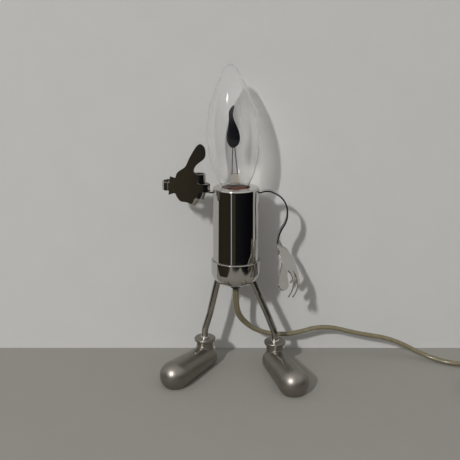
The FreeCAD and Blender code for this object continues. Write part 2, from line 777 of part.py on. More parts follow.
# Right arm of the picture: out, over and down in one flat curve, then the hanging hand. The curve's
# points are shares of how far it stands out from the shoulder and of its drop to the wrist.
ARM_CURVE = [
    (0.0, 0.0), (0.243, -0.0245), (0.503, 0.0136), (0.870, 0.1635), (1.0, 0.354), (0.984, 0.518),
    (0.854, 0.670), (0.730, 0.801), (0.654, 1.0),
]
shoulder = mm("can_radius") + mm("shoulder_gap")
high = mm("arm_height")
arm_points = [V(shoulder + out * mm("arm_out"), 0, high - drop * mm("wrist_drop")) for out, drop in ARM_CURVE]
right_edges = [Part.Arc(*arm_points[k : k + 3]).toShape() for k in range(0, len(arm_points) - 2, 2)]
right_strip = strip_along(right_edges, V(0, 1, 0))
down, thumbward = V(0.50, -0.14, -0.855), V(-0.30, -0.953, -0.02)
right_hand = glove(
    mm("loose_finger_bend"), mm("loose_finger_angle"), -1, mm("palm_stretch"), 0.3, mm("thumb_angle")
)
right_hand.Placement = FreeCAD.Placement(
    arm_points[-1], FreeCAD.Rotation(down, thumbward.cross(down), thumbward, "XZY")
)
shaped("arm_right", right_strip.fuse(tang(1)).fuse(right_hand))

# Left arm of the picture: out to the side, twisted on edge, and back in front as a raised hand.
depth, turn_x, turn_bend, hand_rise = mm("palm_forward"), -mm("turn_out"), mm("turn_bend"), mm("hand_rise")


def twisted(from_x, to_x, steps=6):
    """A length of strip along X that turns from lying flat to standing on edge."""
    half, thick, rings = mm("strip_width") / 2, mm("strip") / 2, []
    for step in range(steps + 1):
        share = step / steps
        angle = math.pi / 2 * share
        side, up = V(0, math.cos(angle), math.sin(angle)), V(0, -math.sin(angle), math.cos(angle))
        middle = V(from_x + (to_x - from_x) * share, 0, high + hand_rise * share**1.3)
        corners = [
            middle + side * half + up * thick,
            middle - side * half + up * thick,
            middle - side * half - up * thick,
            middle + side * half - up * thick,
        ]
        rings.append(Part.makePolygon(corners + [corners[0]]))
    return Part.makeLoft(rings, True, False)


hand_z = high + hand_rise
left_twist = twisted(-shoulder, -mm("twist_end"))
left_turn = strip_along(
    [
        Part.LineSegment(V(-mm("twist_end"), 0, hand_z), V(turn_x, 0, hand_z)).toShape(),
        Part.Arc(
            V(turn_x, 0, hand_z),
            V(turn_x - turn_bend * math.sin(math.pi / 4), -turn_bend * (1 - math.cos(math.pi / 4)), hand_z),
            V(turn_x - turn_bend, -turn_bend, hand_z),
        ).toShape(),
        Part.LineSegment(
            V(turn_x - turn_bend, -turn_bend, hand_z), V(turn_x - turn_bend, turn_bend - depth, hand_z)
        ).toShape(),
        Part.Arc(
            V(turn_x - turn_bend, turn_bend - depth, hand_z),
            V(turn_x - turn_bend * math.sin(math.pi / 4), turn_bend * (1 - math.cos(math.pi / 4)) - depth, hand_z),
            V(turn_x, -depth, hand_z),
        ).toShape(),
        Part.LineSegment(V(turn_x, -depth, hand_z), V(turn_x + 3 * mm("strip"), -depth, hand_z)).toShape(),
    ],
    V(0, 0, 1),
)
left_hand = glove(mm("closed_finger_bend"), 180.0, 1, 1.0, 1.0)
left_hand.Placement = FreeCAD.Placement(V(turn_x, -depth, hand_z + mm("strip") / 2), FreeCAD.Rotation())
shaped("arm_left", left_twist.fuse(tang(-1)).fuse(left_turn).fuse(left_hand).removeSplitter())

# The cord: a free stretch, a coil of the rest, and the plug.
CORD = [
    (0.0, 0.0, mm("bushing_foot")),
    (-0.3, 2.0, 44.5),
    (5.0, 8.0, 30.5),
    (19.5, 12.5, 18.8),
    (42.0, 13.8, 16.8),
    (66.0, 14.0, 24.8),
    (92.0, 13.8, 17.8),
    (118.0, 12.0, 14.6),
    (142.0, 7.0, 2.9),
    (160.0, -6.0, mm("cord_floor")),
    (187.0, -5.5, mm("cord_floor")),
    (220.0, 11.0, mm("cord_floor")),
]
cord_radius = mm("cord_width") / 2
pitch = mm("cord_width") + mm("coil_gap")
coil_x, coil_y = mm("coil_x"), mm("coil_y")
outermost = mm("coil_radius") + mm("coil_turns") * pitch / 2
CORD.append((coil_x, coil_y + outermost, mm("cord_floor")))


def free_tube(points, radius):
    """A round tube of straight runs, each corner's arc as large as its two runs allow."""
    route, edges, last, radii = [V(*p) for p in points], [], V(*points[0]), []
    for before, at, after in zip(route, route[1:], route[2:]):
        into, out = (at - before).normalize(), (after - at).normalize()
        turn = into.getAngle(out)
        reach = 0.45 * min((at - before).Length, (after - at).Length)
        bend = reach / math.tan(turn / 2)
        start, end = at - into * reach, at + out * reach
        middle = at + (out - into).normalize() * (bend / math.cos(turn / 2) - bend)
        edges.append(Part.LineSegment(last, start).toShape())
        edges.append(Part.Arc(start, middle, end).toShape())
        radii.append(round(bend, 1))
        last = end
    edges.append(Part.LineSegment(last, route[-1]).toShape())
    path = Part.Wire(edges)
    circle = Part.Wire(Part.Circle(route[0], route[1] - route[0], radius).toShape())
    tube_solid = path.makePipeShell([circle], True, False)
    section = math.pi * radius**2 * path.Length
    print(f"tube: length {path.Length:.1f}, radii {radii}, volume off by {tube_solid.Volume / section - 1:.5f}")
    return tube_solid


# How much of a turn the coil climbs over from one layer to the next.
CLIMB = 0.5


def coil_point(turn):
    """A point of the coil's middle line: four layers, in and out again, climbing between them."""
    turns, climb = mm("coil_turns"), CLIMB
    layer = min(int(turn // (turns + climb)), 3)
    along = turn - layer * (turns + climb)
    share = min(along / turns, 1.0)
    inner, outer = outermost - turns * pitch, outermost
    radius = outer - share * turns * pitch if layer % 2 == 0 else inner + share * turns * pitch
    rise = max(along - turns, 0.0) / climb
    height = mm("cord_floor") + pitch * 0.98 * (layer + 0.5 - 0.5 * math.cos(math.pi * rise))
    angle = math.pi / 2 - 2 * math.pi * turn
    return V(coil_x + radius * math.cos(angle), coil_y + radius * math.sin(angle), height)


def biarc(start, heading, end, leaving):
    """Two tangent arcs from one point and heading to another."""
    gap, both = end - start, heading + leaving
    bend = 2 * (1 - heading.dot(leaving))
    reach = (-gap.dot(both) + math.sqrt(gap.dot(both) ** 2 + bend * gap.dot(gap))) / bend
    middle = (start + end + (heading - leaving) * reach) * 0.5
    arcs = []
    for a, b, corner in ((start, middle, start + heading * reach), (middle, end, end - leaving * reach)):
        chord_middle = (a + b) * 0.5
        half = (b - a).Length / 2
        tangent = (corner - a).Length
        lift = math.sqrt(max(tangent**2 - half**2, 1e-12))
        sagitta = half * (1 - half / tangent) / (lift / tangent)
        arcs.append(Part.Arc(a, chord_middle + (corner - chord_middle) * (sagitta / lift), b).toShape())
    return arcs


total = 4 * mm("coil_turns") + 3 * CLIMB
steps = round(total * 4)


def coil_heading(turn):
    ahead, behind = coil_point(min(turn + 1e-4, total)), coil_point(max(turn - 1e-4, 0))
    return (ahead - behind).normalize()


quarter_turns = [total * k / steps for k in range(steps + 1)]
headings = [coil_heading(k) for k in quarter_turns]
headings[0], headings[-1] = V(1, 0, 0), V(-1, 0, 0)
coil_edges = []
for k in range(steps):
    coil_edges += biarc(
        coil_point(quarter_turns[k]), headings[k], coil_point(quarter_turns[k + 1]), headings[k + 1]
    )
coil_path = Part.Wire(coil_edges)
coil_start = coil_point(0)
coil_circle = Part.Wire(Part.Circle(coil_start, headings[0], cord_radius).toShape())
coil = coil_path.makePipeShell([coil_circle], True, False)
fine = [p for edge in coil_path.OrderedEdges for p in edge.discretize(Number=9)]
least = min(
    (a - b).Length
    for i, a in enumerate(fine)
    for b in fine[i + 40 :]
)
print(f"coil: length {coil_path.Length:.1f}, least gap to itself {least - 2 * cord_radius:.2f}")

coil_end = coil_point(total)
plug_rear = (mm("plug_x"), coil_end.y, mm("plug_height"))
TAIL = [
    tuple(coil_end),
    (coil_end.x - mm("tail_run"), coil_end.y, coil_end.z),
    (mm("plug_x") + mm("tail_run"), coil_end.y, mm("plug_height")),
    plug_rear,
]
shaped("cord", free_tube(CORD, cord_radius))
shaped("cord_coil", coil)
shaped("cord_tail", free_tube(TAIL, cord_radius))

rear, plug_y, plug_z = plug_rear[0], plug_rear[1], plug_rear[2]


def plug_ring(x, across, tall):
    """A rounded rectangle across the plug."""
    half, up = across / 2, tall / 2
    edge = min(half, up) * 0.6
    box = Part.makeBox(1, across, tall, V(x, plug_y - half, plug_z - up))
    box = box.makeFillet(edge, [e for e in box.Edges if abs(e.Length - 1) < 1e-6])
    face = next(f for f in box.Faces if abs(f.CenterOfMass.x - x) < 1e-6)
    return face.OuterWire


plug_stages = [
    (rear, mm("plug_tail_width"), mm("plug_tail_width")),
    (rear - 0.35 * mm("plug_length"), 1.1 * mm("plug_tail_width"), 1.1 * mm("plug_tail_width")),
    (rear - 0.55 * mm("plug_length"), 1.9 * mm("plug_width"), mm("plug_width") * 0.9),
    (rear - mm("plug_length"), 2.4 * mm("plug_width"), mm("plug_width")),
]
plug_body = Part.makeLoft([plug_ring(x, a, t) for x, a, t in plug_stages], True, True)
shaped("plug_body", plug_body)
pins = []
for way in (-1, 1):
    at = V(rear - mm("plug_length"), plug_y + way * mm("pin_spread") / 2, plug_z)
    pin = Part.makeCylinder(mm("pin_radius"), mm("pin_length"), at, V(-1, 0, 0))
    tip_edge = [e for e in pin.Edges if isinstance(e.Curve, Part.Circle) and e.Curve.Center.x < at.x - 1]
    pins.append(pin.makeFillet(mm("pin_radius") * 0.6, tip_edge))
shaped("plug_pins", Part.makeCompound(pins))

doc.recompute()
for thing in doc.Objects:
    if {"Invalid", "Error"} & set(thing.State):
        raise RuntimeError(f"{thing.Label}: {thing.State}")
os.makedirs("parts", exist_ok=True)
cord_nodes = {"cord", "cord_coil", "cord_tail", "plug_body", "plug_pins"}
whole = FreeCAD.BoundBox()
for label, piece in nodes.items():
    shape = piece.Shape
    if shape.isNull() or not shape.isValid():
        raise RuntimeError(f"{label}: no valid shape")
    if label not in cord_nodes:
        whole.add(shape.optimalBoundingBox())
    print(f"{label:26s} solids {len(shape.Solids)} volume {shape.Volume:9.1f}")
    shape.exportStep(f"parts/{label}.step")
print(f"figure box {whole}")
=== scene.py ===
"""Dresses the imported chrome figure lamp: camera, cord, bright metal, cast boots, bulb and stage.

Lengths are in metres and angles in degrees unless a name says otherwise. The lamp's parts keep the
places that the frame gives them.
"""

import json
import math

import bmesh
import bpy
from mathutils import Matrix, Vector


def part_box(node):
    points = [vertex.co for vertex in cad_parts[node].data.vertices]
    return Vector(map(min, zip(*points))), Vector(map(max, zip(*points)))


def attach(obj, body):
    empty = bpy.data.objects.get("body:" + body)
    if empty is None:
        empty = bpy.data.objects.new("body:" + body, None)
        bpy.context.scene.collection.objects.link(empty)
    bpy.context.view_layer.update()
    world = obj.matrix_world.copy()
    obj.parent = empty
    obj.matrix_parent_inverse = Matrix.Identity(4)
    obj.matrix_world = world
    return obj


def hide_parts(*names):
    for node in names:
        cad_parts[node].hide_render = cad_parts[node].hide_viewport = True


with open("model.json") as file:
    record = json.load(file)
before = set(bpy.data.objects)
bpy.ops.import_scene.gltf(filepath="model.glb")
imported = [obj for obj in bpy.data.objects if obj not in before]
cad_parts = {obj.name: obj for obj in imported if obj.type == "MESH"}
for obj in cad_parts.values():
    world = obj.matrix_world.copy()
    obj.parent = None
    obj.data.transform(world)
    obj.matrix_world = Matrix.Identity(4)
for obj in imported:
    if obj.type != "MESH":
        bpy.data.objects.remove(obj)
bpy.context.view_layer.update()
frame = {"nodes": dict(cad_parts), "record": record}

bl_info = {
    "name": "Figure lamp",
    "version": (1, 0, 0),
    "blender": (4, 5, 0),
    "location": "View3D > Sidebar > Figure lamp",
    "description": "Dresses a small chrome figure lamp with a candle bulb",
    "category": "Object",
}

MM = 0.001
# The lamp's root body, which carries all that does not move.
FIGURE = "figure"
# The camera's place from the floor under the can's axis, in millimetres.
CAMERA_PLACE = (-4.06, -441.3, 225.5)
# The voxels that blend a casting's inner corners, and the rounds of smoothing after them.
CASTING_VOXEL = 0.3 * MM
CASTING_ROUNDS = 3
# The round that tumbling leaves on a sheet's edges.
SHEET_ROUND = 0.2 * MM
# The way from the lamp towards the key light, its distance, its two sides in metres and its power.
KEY_WAY = (-0.42, -0.76, 0.54)
KEY_DISTANCE = 4.0
KEY_SIDES = (0.144, 0.272)
KEY_POWER = 76.0
# The point on the can's axis that the key light is aimed at.
KEY_AIM = (0.0, 0.0, 0.09)
# The bright part of the floor, little wider than the camera sees. Bright metal mirrors the dark
# room beside it.
FLOOR_SLAB = [
    (-0.26, 0.026), (-0.15, -0.15), (-0.10, -0.24), (0.09, -0.24), (0.17, -0.15), (0.32, 0.026),
]
# How far the floor reaches each way, how far it lies under the slab, and how tall the wall is.
FLOOR_REACH = 1.6
UNDER_SLAB = 0.0001
WALL_HEIGHT = 1.4
# Colours of the room around the lamp, by degrees from the front towards +X.
ROOM_BANDS = [
    (-180, (0.5, 0.5, 0.5)), (-102, (0.5, 0.5, 0.5)), (-97, (0.022, 0.021, 0.018)),
    (-60, (0.030, 0.026, 0.016)), (-25, (0.028, 0.023, 0.014)), (-23.5, (0.55, 0.6, 0.7)),
    (-21.5, (0.55, 0.6, 0.7)), (-20, (0.046, 0.038, 0.024)), (-4, (0.046, 0.038, 0.024)),
    (-1, (0.010, 0.011, 0.014)), (60, (0.004, 0.004, 0.005)), (94, (0.003, 0.003, 0.004)),
    (100, (0.5, 0.5, 0.5)),
]
# The room above the lamp.
CEILING = (0.66, 0.65, 0.64)
# The window beside the key light, which the glass and the plating mirror.
WINDOW = (7.0, 7.0, 7.0)
# The room as the camera itself sees it, past the wall and the floor.
PALE_ROOM = (0.72, 0.72, 0.71)
# Dust on mouldings.
DUST = (0.35, 0.34, 0.32)


def middle(node):
    """The middle of a node's box at rest."""
    low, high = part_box(node)
    return (low + high) / 2


def can_axis():
    """The point on the floor under the can's axis."""
    centre = middle("body_can")
    return Vector((centre.x, centre.y, 0.0))


AXIS = can_axis()


class LampSizes(bpy.types.PropertyGroup):
    """Sizes that a user would change."""

    cord_width: bpy.props.FloatProperty(
        name="Cord width", description="Across the two cores of the flat lead", default=4.4 * MM,
        min=1 * MM, unit="LENGTH",
    )
    cord_thickness: bpy.props.FloatProperty(
        name="Cord thickness", description="Across one core of the flat lead", default=2.7 * MM,
        min=1 * MM, unit="LENGTH",
    )
    lens: bpy.props.FloatProperty(
        name="Lens", description="Focal length of the camera, in millimetres", default=51.26, min=10.0
    )
    camera_tilt: bpy.props.FloatProperty(
        name="Camera tilt", description="How far the camera looks down", default=math.radians(15.56),
        subtype="ANGLE",
    )
    wall_gap: bpy.props.FloatProperty(
        name="Wall gap", description="From the can's axis to the wall behind it", default=26 * MM,
        unit="LENGTH",
    )
    cast_grain: bpy.props.FloatProperty(
        name="Cast grain", description="Depth of the boots' fine cast surface", default=0.03 * MM,
        unit="LENGTH",
    )


class LampColours(bpy.types.PropertyGroup):
    """Colours that a user would change, as linear values."""

    chrome: bpy.props.FloatVectorProperty(
        name="Chrome", description="Mirror plating", default=(0.60, 0.58, 0.55), size=3,
        subtype="COLOR",
    )
    nickel: bpy.props.FloatVectorProperty(
        name="Nickel", description="Plating of the rods", default=(0.42, 0.40, 0.36), size=3,
        subtype="COLOR",
    )
    boot: bpy.props.FloatVectorProperty(
        name="Boots", description="Satin plating of the castings", default=(0.30, 0.28, 0.25), size=3,
        subtype="COLOR",
    )
    cord: bpy.props.FloatVectorProperty(
        name="Cord", description="Clear plastic with the copper showing through",
        default=(0.175, 0.15, 0.085), size=3, subtype="COLOR",
    )
    moulding: bpy.props.FloatVectorProperty(
        name="Moulding", description="Brown plastic of the lampholder",
        default=(0.27, 0.085, 0.05), size=3, subtype="COLOR",
    )
    electrode: bpy.props.FloatVectorProperty(
        name="Flame plate", description="Dark coating of the flame plates",
        default=(0.002, 0.002, 0.005), size=3, subtype="COLOR",
    )
    wall: bpy.props.FloatVectorProperty(
        name="Wall", description="Backdrop behind the lamp", default=(0.61, 0.61, 0.60), size=3,
        subtype="COLOR",
    )
    floor: bpy.props.FloatVectorProperty(
        name="Floor", description="Ground under the lamp", default=(0.29, 0.28, 0.255), size=3,
        subtype="COLOR",
    )


def sizes():
    """The sizes now set in the scene."""
    return bpy.context.scene.lamp_sizes


def colours():
    """The colours now set in the scene."""
    return bpy.context.scene.lamp_colours


# Meshes


def new_object(name, data):
    """An object in the scene that carries this data."""
    thing = bpy.data.objects.new(name, data)
    bpy.context.scene.collection.objects.link(thing)
    return thing


def shade_smooth(mesh):
    """Shades every face of a mesh smooth."""
    for polygon in mesh.polygons:
        polygon.use_smooth = True


def mesh_object(name, vertices, faces):
    """A mesh object from points and faces, shaded smooth."""
    mesh = bpy.data.meshes.new(name)
    mesh.from_pydata([tuple(v) for v in vertices], [], faces)
    mesh.validate()
    shade_smooth(mesh)
    return new_object(name, mesh)


def apply_modifiers(thing):
    """Replaces a mesh by what its modifiers make of it."""
    graph = bpy.context.evaluated_depsgraph_get()
    made = bpy.data.meshes.new_from_object(thing.evaluated_get(graph))
    thing.modifiers.clear()
    thing.data = made


def smooth_line(points, order, finer):
    """Points along a NURBS spline that has these control points."""
    curve = bpy.data.curves.new("line", "CURVE")
    curve.dimensions = "3D"
    curve.resolution_u = finer
    spline = curve.splines.new("NURBS")
    spline.points.add(len(points) - 1)
    for point, place in zip(spline.points, points):
        point.co = (*place, 1.0)
    spline.order_u = order
    spline.use_endpoint_u = True
    thing = new_object("line", curve)
    mesh = bpy.data.meshes.new_from_object(thing)
    line = [v.co.copy() for v in mesh.vertices]
    bpy.data.objects.remove(thing)
    bpy.data.meshes.remove(mesh)
    bpy.data.curves.remove(curve)
    return line


def copy_of(node, name):
    """A free copy of a node's mesh, with its corners joined."""
    mesh = frame["nodes"][node].data.copy()
    mesh.name = name
    thing = new_object(name, mesh)
    work = bmesh.new()
    work.from_mesh(mesh)
    bmesh.ops.remove_doubles(work, verts=work.verts, dist=1e-6)
    work.to_mesh(mesh)
    work.free()
    if mesh.has_custom_normals:
        mesh.attributes.remove(mesh.attributes["custom_normal"])
    return thing


# Materials


def node_material(name):
    """A material with nodes, and its Principled BSDF."""
    material = bpy.data.materials.new(name)
    material.use_nodes = True
    return material, material.node_tree, material.node_tree.nodes["Principled BSDF"]


def effect_group(name, inputs, outputs):
    """An empty shader node group with named inputs (name, default) and outputs (name, kind)."""
    group = bpy.data.node_groups.new(name, "ShaderNodeTree")
    group.interface.new_socket("Vector", in_out="INPUT", socket_type="NodeSocketVector")
    for label, default in inputs:
        socket = group.interface.new_socket(label, in_out="INPUT", socket_type="NodeSocketFloat")
        socket.default_value = default
    for label, kind in outputs:
        group.interface.new_socket(label, in_out="OUTPUT", socket_type=kind)
    entry = group.nodes.new("NodeGroupInput")
    leave = group.nodes.new("NodeGroupOutput")
    return group, entry, leave


def spread(tree, source, low, high, to_low, to_high):
    """A value stretched from one range to another, clamped."""
    node = tree.nodes.new("ShaderNodeMapRange")
    tree.links.new(source, node.inputs["Value"])
    node.inputs["From Min"].default_value = low
    node.inputs["From Max"].default_value = high
    node.inputs["To Min"].default_value = to_low
    node.inputs["To Max"].default_value = to_high
    return node.outputs["Result"]


def noise(tree, vector, scale, detail=3.0, rough=0.5):
    """A noise texture's value."""
    node = tree.nodes.new("ShaderNodeTexNoise")
    node.inputs["Detail"].default_value = detail
    node.inputs["Roughness"].default_value = rough
    tree.links.new(vector, node.inputs["Vector"])
    if isinstance(scale, float):
        node.inputs["Scale"].default_value = scale
    else:
        tree.links.new(scale, node.inputs["Scale"])
    return node.outputs["Fac"]


def maths(tree, operation, first, second):
    """One arithmetic step on two values, each a socket or a number."""
    node = tree.nodes.new("ShaderNodeMath")
    node.operation = operation
    for slot, value in zip(node.inputs, (first, second)):
        if isinstance(value, (int, float)):
            slot.default_value = value
        else:
            tree.links.new(value, slot)
    return node.outputs[0]


def smudge_group():
    """Handling marks: soft patches and fine dust, as a mask and a height."""
    group, entry, leave = effect_group(
        "handling_marks", [("Patch Scale", 60.0), ("Dust Scale", 2500.0)],
        [("Patches", "NodeSocketFloat"), ("Dust", "NodeSocketFloat"), ("Height", "NodeSocketFloat")],
    )
    patches = noise(group, entry.outputs["Vector"], entry.outputs["Patch Scale"], 4.0, 0.62)
    dust = noise(group, entry.outputs["Vector"], entry.outputs["Dust Scale"], 2.0, 0.6)
    group.links.new(spread(group, patches, 0.42, 0.70, 0.0, 1.0), leave.inputs["Patches"])
    group.links.new(spread(group, dust, 0.62, 0.74, 0.0, 1.0), leave.inputs["Dust"])
    group.links.new(patches, leave.inputs["Height"])
    return group


def drawn_group():
    """Fine lines along a drawn or spun direction, from stretched noise."""
    group, entry, leave = effect_group(
        "drawn_lines", [("Across", 4000.0), ("Along", 60.0)],
        [("Lines", "NodeSocketFloat")],
    )
    split = group.nodes.new("ShaderNodeSeparateXYZ")
    group.links.new(entry.outputs["Vector"], split.inputs[0])
    join = group.nodes.new("ShaderNodeCombineXYZ")
    for axis, scale in (("X", "Across"), ("Y", "Across"), ("Z", "Along")):
        value = maths(group, "MULTIPLY", split.outputs[axis], entry.outputs[scale])
        group.links.new(value, join.inputs[axis])
    group.links.new(noise(group, join.outputs[0], 1.0, 2.0, 0.5), leave.inputs["Lines"])
    return group


def cast_group():
    """The fine orange peel and pits of a plated casting."""
    group, entry, leave = effect_group(
        "cast_surface", [("Grain Scale", 1400.0), ("Pit Scale", 500.0)],
        [("Height", "NodeSocketFloat"), ("Pits", "NodeSocketFloat"), ("Tone", "NodeSocketFloat")],
    )
    grain = noise(group, entry.outputs["Vector"], entry.outputs["Grain Scale"], 4.0, 0.6)
    cells = group.nodes.new("ShaderNodeTexVoronoi")
    group.links.new(entry.outputs["Vector"], cells.inputs["Vector"])
    group.links.new(entry.outputs["Pit Scale"], cells.inputs["Scale"])
    pits = spread(group, cells.outputs["Distance"], 0.05, 0.16, 1.0, 0.0)
    rare = spread(group, noise(group, entry.outputs["Vector"], 220.0, 2.0), 0.60, 0.68, 0.0, 1.0)
    pitted = maths(group, "MULTIPLY", pits, rare)
    group.links.new(maths(group, "SUBTRACT", grain, pitted), leave.inputs["Height"])
    group.links.new(pitted, leave.inputs["Pits"])
    group.links.new(noise(group, entry.outputs["Vector"], 75.0, 4.0, 0.6), leave.inputs["Tone"])
    return group


EFFECTS = {}


def placed_effect(tree, name, values=None):
    """A shared effect in a material, on the object's own coordinates."""
    node = tree.nodes.new("ShaderNodeGroup")
    node.node_tree = EFFECTS[name]
    where = tree.nodes.new("ShaderNodeTexCoord")
    tree.links.new(where.outputs["Object"], node.inputs["Vector"])
    for label, value in (values or {}).items():
        node.inputs[label].default_value = value
    return node


def bump(tree, shader, height, depth):
    """Feeds a height to the shader's normal; depth in metres."""
    node = tree.nodes.new("ShaderNodeBump")
    node.inputs["Strength"].default_value = 1.0
    node.inputs["Distance"].default_value = depth
    tree.links.new(height, node.inputs["Height"])
    tree.links.new(node.outputs["Normal"], shader.inputs["Normal"])


def two_tones(tree, mask, first, second):
    """A colour between two, by a mask. Each colour is a socket or three numbers."""
    node = tree.nodes.new("ShaderNodeMix")
    node.data_type = "RGBA"
    tree.links.new(mask, node.inputs["Factor"])
    for slot, colour in ((node.inputs[6], first), (node.inputs[7], second)):
        if isinstance(colour, bpy.types.NodeSocket):
            tree.links.new(colour, slot)
        else:
            slot.default_value = (*colour, 1.0)
    return node.outputs[2]


def one_of_two(tree, share, first, second):
    """A shader between two, by a share."""
    node = tree.nodes.new("ShaderNodeMixShader")
    for slot, value in zip(node.inputs, (share, first, second)):
        tree.links.new(value, slot)
    return node.outputs[0]


def roughness(tree, shader, mask, low, high, mask_low=0.0, mask_high=1.0):
    """Lets a mask drive the shader's roughness between two values."""
    tree.links.new(spread(tree, mask, mask_low, mask_high, low, high), shader.inputs["Roughness"])


def shade(colour, share):
    """A colour made darker or lighter by a share."""
    return tuple(min(channel * share, 1.0) for channel in colour)


def plated(name, colour, low, high, waves=0.0, scale=60.0):
    """Mirror plating: clean metal with soft handling patches and a trace of dust."""
    material, tree, shader = node_material(name)
    marks = placed_effect(tree, "handling_marks", {"Patch Scale": scale})
    shader.inputs["Metallic"].default_value = 1.0
    roughness(tree, shader, marks.outputs["Patches"], low, high)
    tone = two_tones(tree, marks.outputs["Dust"], colour, shade(colour, 0.86))
    tree.links.new(tone, shader.inputs["Base Color"])
    if waves:
        bump(tree, shader, marks.outputs["Height"], waves)
    return material


def drawn_metal(name, colour, low, high, depth):
    """A plated rod: fine drawn lines along it under the plating."""
    material, tree, shader = node_material(name)
    lines = placed_effect(tree, "drawn_lines", {"Across": 2600.0, "Along": 90.0})
    marks = placed_effect(tree, "handling_marks", {"Patch Scale": 90.0})
    shader.inputs["Metallic"].default_value = 1.0
    tone = two_tones(tree, marks.outputs["Patches"], colour, shade(colour, 0.78))
    tree.links.new(tone, shader.inputs["Base Color"])
    roughness(tree, shader, lines.outputs["Lines"], low, high, 0.3, 0.7)
    bump(tree, shader, lines.outputs["Lines"], depth)
    return material


def cast_metal(name, colour):
    """Satin plating over a fine casting."""
    material, tree, shader = node_material(name)
    surface = placed_effect(tree, "cast_surface")
    marks = placed_effect(tree, "handling_marks", {"Patch Scale": 45.0})
    shader.inputs["Metallic"].default_value = 1.0
    worn = two_tones(tree, surface.outputs["Tone"], shade(colour, 0.88), shade(colour, 1.12))
    dirty = two_tones(tree, surface.outputs["Pits"], worn, shade(colour, 0.45))
    tree.links.new(dirty, shader.inputs["Base Color"])
    roughness(tree, shader, marks.outputs["Patches"], 0.36, 0.46)
    bump(tree, shader, surface.outputs["Height"], sizes().cast_grain)
    return material


def moulded(name, colour, rough, grain_scale, depth, coat=0.0, dust_share=0.15, gloss=0.5):
    """Moulded plastic, rubber or ceramic: even colour with a fine skin."""
    material, tree, shader = node_material(name)
    marks = placed_effect(tree, "handling_marks", {"Patch Scale": 80.0, "Dust Scale": grain_scale})
    tone = two_tones(tree, marks.outputs["Patches"], shade(colour, 0.9), shade(colour, 1.15))
    dust = maths(tree, "MULTIPLY", marks.outputs["Dust"], dust_share)
    tree.links.new(two_tones(tree, dust, tone, DUST), shader.inputs["Base Color"])
    roughness(tree, shader, marks.outputs["Patches"], rough * 0.85, rough * 1.2)
    shader.inputs["Coat Weight"].default_value = coat
    shader.inputs["Specular IOR Level"].default_value = gloss
    bump(tree, shader, marks.outputs["Height"], depth)
    return material


def clear_glass(name, colour, rough=0.0):
    """Thin blown or pressed glass, faintly streaked."""
    material, tree, shader = node_material(name)
    marks = placed_effect(tree, "handling_marks", {"Patch Scale": 35.0})
    shader.inputs["Transmission Weight"].default_value = 1.0
    shader.inputs["IOR"].default_value = 1.47
    shader.inputs["Base Color"].default_value = (*colour, 1.0)
    roughness(tree, shader, marks.outputs["Patches"], rough, rough + 0.02)
    # light passes on to the backdrop, less of it where it meets the glass at a slant
    slant = tree.nodes.new("ShaderNodeLayerWeight")
    slant.inputs["Blend"].default_value = 0.35
    passing = tree.nodes.new("ShaderNodeBsdfTransparent")
    tone = two_tones(tree, slant.outputs["Facing"], (0.79, 0.79, 0.78), (0.25, 0.25, 0.25))
    tree.links.new(tone, passing.inputs["Color"])
    path = tree.nodes.new("ShaderNodeLightPath")
    both = one_of_two(tree, path.outputs["Is Shadow Ray"], shader.outputs[0], passing.outputs[0])
    tree.links.new(both, tree.nodes["Material Output"].inputs["Surface"])
    return material


def cord_plastic(name):
    """Clear soft plastic over twisted copper: the strands show as a fine warm twill along the core."""
    material, tree, shader = node_material(name)
    colour = colours().cord
    where = tree.nodes.new("ShaderNodeUVMap")
    wave = tree.nodes.new("ShaderNodeTexWave")
    wave.wave_type = "BANDS"
    wave.bands_direction = "DIAGONAL"
    wave.inputs["Scale"].default_value = 1.0
    wave.inputs["Distortion"].default_value = 0.6
    stretch = tree.nodes.new("ShaderNodeMapping")
    stretch.inputs["Scale"].default_value = (8.0, 1.6, 1.0)
    tree.links.new(where.outputs["UV"], stretch.inputs["Vector"])
    tree.links.new(stretch.outputs["Vector"], wave.inputs["Vector"])
    tone = two_tones(tree, wave.outputs["Fac"], shade(colour, 0.82), shade(colour, 1.25))
    tree.links.new(tone, shader.inputs["Base Color"])
    marks = placed_effect(tree, "handling_marks", {"Patch Scale": 120.0})
    roughness(tree, shader, marks.outputs["Patches"], 0.22, 0.36)
    shader.inputs["Coat Weight"].default_value = 0.5
    shader.inputs["Coat Roughness"].default_value = 0.18
    shader.inputs["Subsurface Weight"].default_value = 0.15
    shader.inputs["Subsurface Radius"].default_value = (1.0, 0.7, 0.3)
    shader.inputs["Subsurface Scale"].default_value = 0.8 * MM
    bump(tree, shader, wave.outputs["Fac"], 0.02 * MM)
    return material


